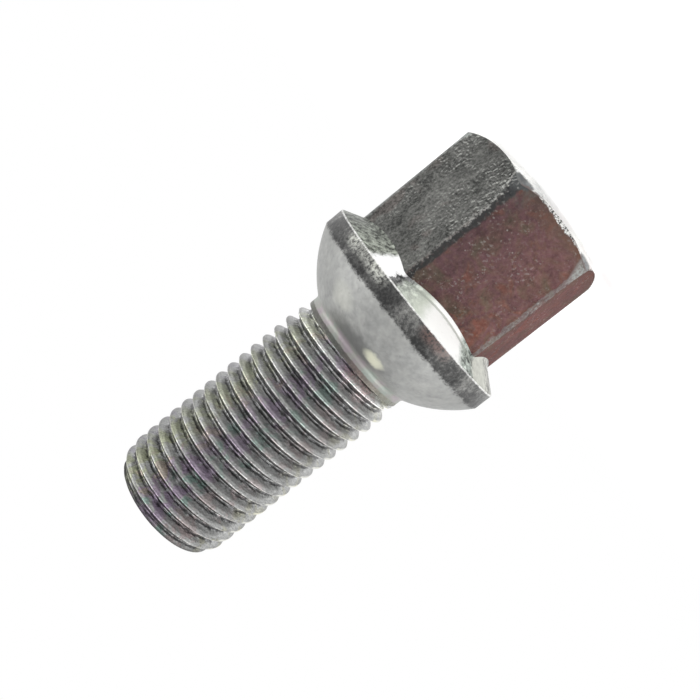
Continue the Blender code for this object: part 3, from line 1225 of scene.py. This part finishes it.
@dataclass
class ForgedHead:
    """The hexagon with its dished crown, the collar with its ball seat, and the plain neck."""

    across_flats: float = 0.0170
    corner_radius: float = 0.0010
    height: float = 0.0149
    crown_drop: float = 0.0014
    crown_curve: float = 1.85
    rim_width: float = 0.0015
    scallop_depth: float = 0.0004
    dish_depth: float = 0.0008
    dish_wall_width: float = 0.0012
    collar_radius: float = 0.01146
    shoulder_angle: float = math.radians(30.0)
    foot_fillet: float = 0.0004
    rim_rounding: float = 0.00012
    land_length: float = 0.0019
    seat_rounding: float = 0.00015
    ball_radius: float = 0.0130
    seat_fillet: float = 0.0006
    neck_radius: float = 0.0065
    neck_length: float = 0.0007
    dish_rows: int = 14
    crown_rows: int = 26
    side_rows: int = 50
    fillet_rows: int = 8
    shoulder_rows: int = 12
    edge_rows: int = 5
    seat_rows: int = 40
    neck_rows: int = 6
    columns: int = Fineness.HEAD.value

    def __post_init__(self) -> None:
        """Work out the sizes that follow from the fields."""
        self.inradius = self.across_flats / 2.0
        self.arc_centre = (self.inradius - self.corner_radius) / math.cos(SECTOR / 2.0)
        self.corner_reach = self.arc_centre + self.corner_radius
        self.arc_end = math.atan2(
            self.corner_radius * math.sin(SECTOR / 2.0),
            self.arc_centre + self.corner_radius * math.cos(SECTOR / 2.0),
        )
        self.dish_radius = self.inradius - self.rim_width
        self.land_end = self.height + self.land_length
        self.ball_centre = self.land_end - math.sqrt(self.ball_radius**2 - self.collar_radius**2)
        self.neck_start = self.ball_centre + math.sqrt(
            (self.ball_radius + self.seat_fillet) ** 2 - (self.neck_radius + self.seat_fillet) ** 2
        )
        self.neck_end = self.neck_start + self.neck_length

    def reach(self, azimuth: float) -> float:
        """Distance from the axis to the hexagon's side or rounded corner.

        Args:
            azimuth: direction from the axis.

        Returns:
            The distance.
        """
        off_corner = abs((azimuth + SECTOR / 2.0) % SECTOR - SECTOR / 2.0)
        if off_corner < self.arc_end:
            across = self.arc_centre * math.sin(off_corner)
            along = self.arc_centre * math.cos(off_corner)
            return along + math.sqrt(self.corner_radius**2 - across**2)
        return self.inradius / math.cos(SECTOR / 2.0 - off_corner)

    def hexagon_azimuths(self) -> list[float]:
        """Azimuths of the columns, with a quarter of them on the rounded corners.

        Returns:
            The azimuths in order, from one end of a corner's rounding.
        """
        per_side = self.columns // SIDES
        on_corner = per_side // 4
        on_flat = per_side - on_corner
        azimuths = []
        for side in range(SIDES):
            start = side * SECTOR
            for step in range(-on_corner // 2, on_corner // 2):
                azimuths.append(start + self.arc_end * step / (on_corner / 2))
            for step in range(on_flat):
                share = step / on_flat
                azimuths.append(start + self.arc_end + share * (SECTOR - 2.0 * self.arc_end))
        return azimuths

    def even_azimuths(self) -> list[float]:
        """Azimuths of the columns where the bolt is round, next to those of the hexagon."""
        first = self.hexagon_azimuths()[0]
        return [first + FULL_TURN * column / self.columns for column in range(self.columns)]

    def scallop(self, azimuth: float) -> float:
        """Height of the crown's rim."""
        return self.scallop_depth * (1.0 - math.cos(SIDES * azimuth)) / 2.0

    def dish_point(self, azimuth: float, share: float) -> Place:
        """Point on the dish's wall, from its floor (share 0) to the rim (share 1).

        Args:
            azimuth: direction from the axis.
            share: how far along the outline.

        Returns:
            Radius and height.
        """
        rim = self.scallop(azimuth)
        drop = (self.dish_depth - rim) * (1.0 - ease(share))
        return self.dish_radius - self.dish_wall_width * (1.0 - share), rim + drop

    def crown_point(self, azimuth: float, share: float) -> Place:
        """Point on the crown, from the dish's rim (share 0) to the side (share 1).

        Args:
            azimuth: direction from the axis.
            share: how far along the outline.

        Returns:
            Radius and height.
        """
        radius = self.dish_radius + share * (self.reach(azimuth) - self.dish_radius)
        out = (radius - self.dish_radius) / (self.corner_reach - self.dish_radius)
        rise = self.crown_drop * out**self.crown_curve
        return radius, rise + self.scallop(azimuth) * (1.0 - share**2)

    def foot_point(self, azimuth: float, share: float) -> Place:
        """Point on the hollow fillet where the hexagon meets the shoulder.

        Args:
            azimuth: direction from the axis.
            share: how far along the outline.

        Returns:
            Radius and height.
        """
        reach = self.reach(azimuth)
        meet = self.height - (self.collar_radius - reach) * math.tan(self.shoulder_angle)
        turn = math.pi / 2.0 - self.shoulder_angle
        start = meet - self.foot_fillet * math.tan(turn / 2.0)
        angle = share * turn
        radius = reach + self.foot_fillet * (1.0 - math.cos(angle))
        return radius, start + self.foot_fillet * math.sin(angle)

    def side_point(self, azimuth: float, share: float) -> Place:
        """Point on the hexagon's side, from the crown (share 0) to the foot (share 1).

        Args:
            azimuth: direction from the axis.
            share: how far along the outline.

        Returns:
            Radius and height.
        """
        low = self.crown_point(azimuth, 1.0)
        high = self.foot_point(azimuth, 0.0)
        return low[0], low[1] + share * (high[1] - low[1])

    def shoulder_point(self, azimuth: float, share: float) -> Place:
        """Point on the cone between the hexagon's foot and the collar's rim.

        Args:
            azimuth: direction from the axis.
            share: how far along the outline.

        Returns:
            Radius and height.
        """
        low = self.foot_point(azimuth, 1.0)
        high = self.rim_point(0.0)
        return low[0] + share * (high[0] - low[0]), low[1] + share * (high[1] - low[1])

    def rim_point(self, share: float) -> Place:
        """Point on the rounded edge between the shoulder and the land.

        Args:
            share: how far along the outline.

        Returns:
            Radius and height.
        """
        turn = math.pi / 2.0 - self.shoulder_angle
        along = self.rim_rounding * math.tan(turn / 2.0)
        angle = (1.0 - share) * turn
        radius = self.collar_radius - self.rim_rounding * (1.0 - math.cos(angle))
        return radius, self.height + along - self.rim_rounding * math.sin(angle)

    def seat_edge_point(self, share: float) -> Place:
        """Point on the rounded edge between the land and the ball seat.

        Args:
            share: how far along the outline.

        Returns:
            Radius and height.
        """
        steep = math.acos(self.collar_radius / self.ball_radius)
        along = self.seat_rounding * math.tan(steep / 2.0)
        angle = share * steep
        radius = self.collar_radius - self.seat_rounding * (1.0 - math.cos(angle))
        return radius, self.land_end - along + self.seat_rounding * math.sin(angle)

    def seat_point(self, share: float) -> Place:
        """Point on the ball seat, from the collar (share 0) to the neck's fillet (share 1).

        Args:
            share: how far along the outline.

        Returns:
            Radius and height.
        """
        outer = math.asin(self.seat_edge_point(1.0)[0] / self.ball_radius)
        inner = math.atan2(self.neck_radius + self.seat_fillet, self.neck_start - self.ball_centre)
        angle = outer + share * (inner - outer)
        return self.ball_radius * math.sin(angle), self.ball_centre + self.ball_radius * math.cos(angle)

    def neck_fillet_point(self, share: float) -> Place:
        """Point on the hollow fillet between the ball seat and the neck.

        Args:
            share: how far along the outline.

        Returns:
            Radius and height.
        """
        steepest = math.atan2(self.neck_start - self.ball_centre, self.neck_radius + self.seat_fillet)
        angle = (1.0 - share) * steepest
        radius = self.neck_radius + self.seat_fillet * (1.0 - math.cos(angle))
        return radius, self.neck_start - self.seat_fillet * math.sin(angle)

    def neck_point(self, share: float) -> Place:
        """Point on the plain neck, from its fillet (share 0) to the thread (share 1)."""
        return self.neck_radius, self.neck_start + share * (self.neck_end - self.neck_start)

    def stations(self) -> list[Station]:
        """The rings of the head from the dish to the neck.

        Returns:
            The stations in order.
        """
        hexagonal = self.hexagon_azimuths()
        even = self.even_azimuths()
        stations: list[Station] = [
            (hexagonal, lambda _, part=part: (self.floor_radius(part), self.dish_depth), Slot.CROWN)
            for part in (0.25, 0.5, 0.75)
        ]
        for point, steps, first, slot in (
            (self.dish_point, self.dish_rows, 0, Slot.CROWN),
            (self.crown_point, self.crown_rows, 1, Slot.CROWN),
            (self.side_point, self.side_rows, 1, Slot.SIDE),
            (self.foot_point, self.fillet_rows, 1, Slot.COLLAR),
        ):
            for step in range(first, steps + 1):
                share = step / steps
                shaped = lambda azimuth, point=point, share=share: point(azimuth, share)
                stations.append((hexagonal, shaped, slot))
        for step in range(1, self.shoulder_rows + 1):
            share = step / self.shoulder_rows
            blended = [a + (b - a) * share for a, b in zip(hexagonal, even)]
            shaped = lambda azimuth, share=share: self.shoulder_point(azimuth, share)
            stations.append((blended, shaped, Slot.COLLAR))
        for point, steps, first in (
            (self.rim_point, self.edge_rows, 1),
            (self.seat_edge_point, self.edge_rows, 0),
            (self.seat_point, self.seat_rows, 1),
            (self.neck_fillet_point, self.fillet_rows, 1),
            (self.neck_point, self.neck_rows, 1),
        ):
            for step in range(first, steps + 1):
                share = step / steps
                stations.append((even, lambda _, point=point, share=share: point(share), Slot.COLLAR))
        return stations

    def floor_radius(self, share: float) -> float:
        """Radius of a ring on the dish's flat floor."""
        return share * (self.dish_radius - self.dish_wall_width)

    def build(self) -> bpy.types.Object:
        """Build and dress the head.

        Returns:
            The finished piece.
        """
        stations = self.stations()
        loft = Loft(self.columns, self.dish_depth, Slot.CROWN)
        loft.place(stations[0])
        for station in stations[1:]:
            loft.grow(station)
        collar_finish = CollarFinish(land_end=self.land_end, neck_end=self.neck_end)
        finishes = (CrownFinish(), SideFinish(), collar_finish)
        return add_piece("forged_head", loft.finish(self.neck_end, Slot.COLLAR), finishes)


# Thread


@dataclass
class RolledThread:
    """The threaded shank, rolled with rounded crests and roots, from inside the neck to the tip."""

    diameter: float = 0.0137
    depth: float = 0.0009
    pitch: float = 0.0015
    neck_end: float = 0.022962
    neck_radius: float = 0.0065
    length: float = 0.0248
    crest_share: float = 0.20
    root_share: float = 0.20
    softness: float = 0.16
    crest_below_tip: float = 0.0014
    run_out_length: float = 0.0024
    run_out_sink: float = 0.0003
    overlap: float = 0.00035
    nose_length: float = 0.0024
    tip_rounding: float = 0.0004
    rows_per_pitch: int = 16
    columns: int = Fineness.THREAD.value

    def __post_init__(self) -> None:
        """Work out the sizes that follow from the fields."""
        self.radius = self.diameter / 2.0
        self.tip = self.neck_end + self.length
        self.low_cut = self.neck_end - self.overlap
        self.crest_at_x = self.tip - self.crest_below_tip

    def nose_radius(self, height: float) -> float:
        """Outer radius that the rounded tip allows.

        Args:
            height: height above the floor.

        Returns:
            The radius.
        """
        into_nose = max(0.0, height - (self.tip - self.nose_length))
        radius = self.radius - self.depth * (into_nose / self.nose_length) ** 2
        into = min(self.tip_rounding, max(0.0, height - (self.tip - self.tip_rounding)))
        return radius - (self.tip_rounding - math.sqrt(self.tip_rounding**2 - into**2))

    def crest_radius(self, height: float) -> float:
        """Radius of the crest, which sinks into the neck and follows the tip.

        Args:
            height: height above the floor.

        Returns:
            The radius.
        """
        out_of_neck = min(1.0, max(0.0, (height - self.neck_end) / self.run_out_length))
        sunk = self.radius - self.neck_radius + self.run_out_sink / 2.0
        return min(self.radius - sunk * (1.0 - out_of_neck) ** 2, self.nose_radius(height))

    def profile(self, phase: float) -> float:
        """Height of the thread's profile.

        Args:
            phase: pitches from a crest.

        Returns:
            0 in the root and 1 on the crest.
        """
        off_crest = abs((phase + 0.5) % 1.0 - 0.5)
        flank = 0.5 - self.crest_share / 2.0 - self.root_share / 2.0
        return soft_clip(1.0 - (off_crest - self.crest_share / 2.0) / flank, self.softness)

    def shape(self, vertex: bmesh.types.BMVert) -> None:
        """Move a vertex of the plain spun shank onto the thread's surface.

        Args:
            vertex: the vertex.
        """
        azimuth = math.atan2(vertex.co.y, vertex.co.x)
        phase = (vertex.co.z - self.crest_at_x) / self.pitch - azimuth / FULL_TURN
        crest = self.crest_radius(vertex.co.z)
        root = min(self.radius - self.depth, crest)
        radius = root + (crest - root) * self.profile(phase)
        vertex.co.x = radius * math.cos(azimuth)
        vertex.co.y = radius * math.sin(azimuth)

    def build(self) -> bpy.types.Object:
        """Build and dress the threaded shank.

        Returns:
            The finished piece.
        """
        bm = bmesh.new()
        first = math.floor((self.low_cut - self.crest_at_x) / self.pitch) - 2
        last = math.ceil(self.crest_below_tip / self.pitch) + 1
        rows = range(first * self.rows_per_pitch, last * self.rows_per_pitch + 1)
        heights = [self.crest_at_x + row * self.pitch / self.rows_per_pitch for row in rows]
        column = [bm.verts.new((self.radius, 0.0, height)) for height in heights]
        edges = [bm.edges.new(pair) for pair in zip(column, column[1:])]
        bmesh.ops.spin(
            bm,
            geom=column + edges,
            axis=(0.0, 0.0, 1.0),
            cent=(0.0, 0.0, 0.0),
            dvec=(0.0, 0.0, self.pitch / self.columns),
            angle=FULL_TURN,
            steps=self.columns,
        )
        bmesh.ops.remove_doubles(bm, verts=bm.verts, dist=WELD_DISTANCE)
        for vertex in bm.verts:
            self.shape(vertex)
        for height, outward in ((self.tip, 1.0), (self.low_cut, -1.0)):
            cut = bmesh.ops.bisect_plane(
                bm,
                geom=bm.verts[:] + bm.edges[:] + bm.faces[:],
                dist=WELD_DISTANCE,
                plane_co=(0.0, 0.0, height),
                plane_no=(0.0, 0.0, outward),
                clear_outer=True,
            )["geom_cut"]
            rim = [item for item in cut if isinstance(item, bmesh.types.BMEdge)]
            bmesh.ops.holes_fill(bm, edges=rim, sides=0)
            for edge in rim:
                edge.smooth = False
        bmesh.ops.recalc_face_normals(bm, faces=bm.faces)
        finish = ThreadFinish(
            pitch=self.pitch, crest_at_x=self.crest_at_x, tip=self.tip, neck_end=self.neck_end
        )
        return add_piece("rolled_thread", bm, [finish])


# Studio


@dataclass(frozen=True)
class Softbox:
    """A square area lamp that faces the bolt."""

    name: str
    azimuth: float
    elevation: float
    distance: float
    size: float
    power: float

    def build(self) -> None:
        """Place the lamp."""
        lamp = bpy.data.lights.new(self.name, "AREA")
        lamp.size = self.size
        lamp.energy = self.power
        item = bpy.data.objects.new(self.name, lamp)
        turn = Euler((math.radians(90.0 - self.elevation), 0.0, math.radians(90.0 + self.azimuth)))
        item.rotation_euler = turn
        item.location = LAMP_AIM + turn.to_matrix() @ Vector((0.0, 0.0, self.distance))
        bpy.context.scene.collection.objects.link(item)


@dataclass
class Studio:
    """The plain pale floor, the soft light and the camera."""

    camera_place: tuple[float, float, float] = (0.0843265, -0.0227308, 0.0101436)
    camera_turn: tuple[float, float, float] = (-103.2412, 50.6624, -115.6982)
    lens: float = 46.2857
    sensor: float = 36.0
    floor_size: float = 40.0
    floor_colour: Colour = (0.82, 0.82, 0.82)
    floor_roughness: float = 0.9
    floor_glow: float = 0.45
    wall_level: float = 0.30
    light_level: float = 0.75
    softboxes: tuple[Softbox, ...] = (
        Softbox("softbox_left", azimuth=60.0, elevation=40.0, distance=0.5, size=0.4, power=0.8),
        Softbox("softbox_right", azimuth=-85.0, elevation=35.0, distance=0.5, size=0.4, power=0.8),
    )

    def add_camera(self) -> None:
        """Place the camera at the photograph's viewing angle."""
        data = bpy.data.cameras.new("camera")
        data.lens = self.lens
        data.sensor_width = self.sensor
        data.clip_start = MM
        item = bpy.data.objects.new("camera", data)
        item.location = self.camera_place
        item.rotation_euler = Euler([math.radians(angle) for angle in self.camera_turn])
        bpy.context.scene.collection.objects.link(item)
        bpy.context.scene.camera = item

    def add_floor(self) -> None:
        """Lay the pale floor, which glows a little for every ray that shows the surroundings."""
        bm = bmesh.new()
        bmesh.ops.create_grid(bm, x_segments=1, y_segments=1, size=self.floor_size / 2.0)
        mesh = bpy.data.meshes.new("floor")
        bm.to_mesh(mesh)
        bm.free()
        material = bpy.data.materials.new("pale_floor")
        material.use_nodes = True
        graph = Graph(material.node_tree)
        inputs = material.node_tree.nodes["Principled BSDF"].inputs
        graph.feed(inputs["Base Color"], self.floor_colour)
        graph.feed(inputs["Roughness"], self.floor_roughness)
        graph.feed(inputs["Specular IOR Level"], 0.0)
        graph.feed(inputs["Emission Color"], WHITE)
        seen = graph.rays(Ray.CAMERA, Ray.GLOSSY, Ray.TRANSMISSION)
        graph.feed(inputs["Emission Strength"], seen * self.floor_glow)
        mesh.materials.append(material)
        item = bpy.data.objects.new("floor", mesh)
        bpy.context.scene.collection.objects.link(item)

    def add_world(self) -> None:
        """Light the room: white behind and above the bolt, grey walls on the camera's side."""
        world = bpy.data.worlds.new("studio")
        world.use_nodes = True
        bpy.context.scene.world = world
        graph = Graph(world.node_tree)
        direction = graph.add("ShaderNodeTexCoord", output="Generated")
        toward = Vector((self.camera_place[0], self.camera_place[1], 0.0)).normalized()
        facing = graph.add(
            "ShaderNodeVectorMath",
            {"operation": "DOT_PRODUCT"},
            {0: direction, 1: tuple(toward)},
            output="Value",
        )
        up = graph.parts(direction)[2]
        wall = facing.step(-0.35, 0.25) * up.step(0.65, 0.1)
        mirrored = 1.0 - wall * (1.0 - self.wall_level)
        shown = graph.rays(Ray.CAMERA, Ray.TRANSMISSION)
        plain = 1.0 - graph.rays(Ray.CAMERA, Ray.GLOSSY, Ray.TRANSMISSION)
        strength = shown + graph.rays(Ray.GLOSSY) * mirrored + plain * self.light_level
        inputs = world.node_tree.nodes["Background"].inputs
        graph.feed(inputs["Color"], WHITE)
        graph.feed(inputs["Strength"], strength)

    def build(self) -> None:
        """Set up the studio."""
        self.add_camera()
        self.add_floor()
        self.add_world()
        for softbox in self.softboxes:
            softbox.build()
        bpy.context.scene.view_settings.view_transform = "Standard"


def main() -> None:
    """Build the bolt and its studio."""
    logging.basicConfig(level=logging.INFO, format="%(name)s: %(message)s")
    head = ForgedHead()
    for assembly in (head, RolledThread(neck_end=head.neck_end)):
        piece = assembly.build()
        LOG.info("%s: %d faces", piece.name, len(piece.data.polygons))
    Studio().build()
    LOG.info("studio ready")


if __name__ == "__main__":
    main()
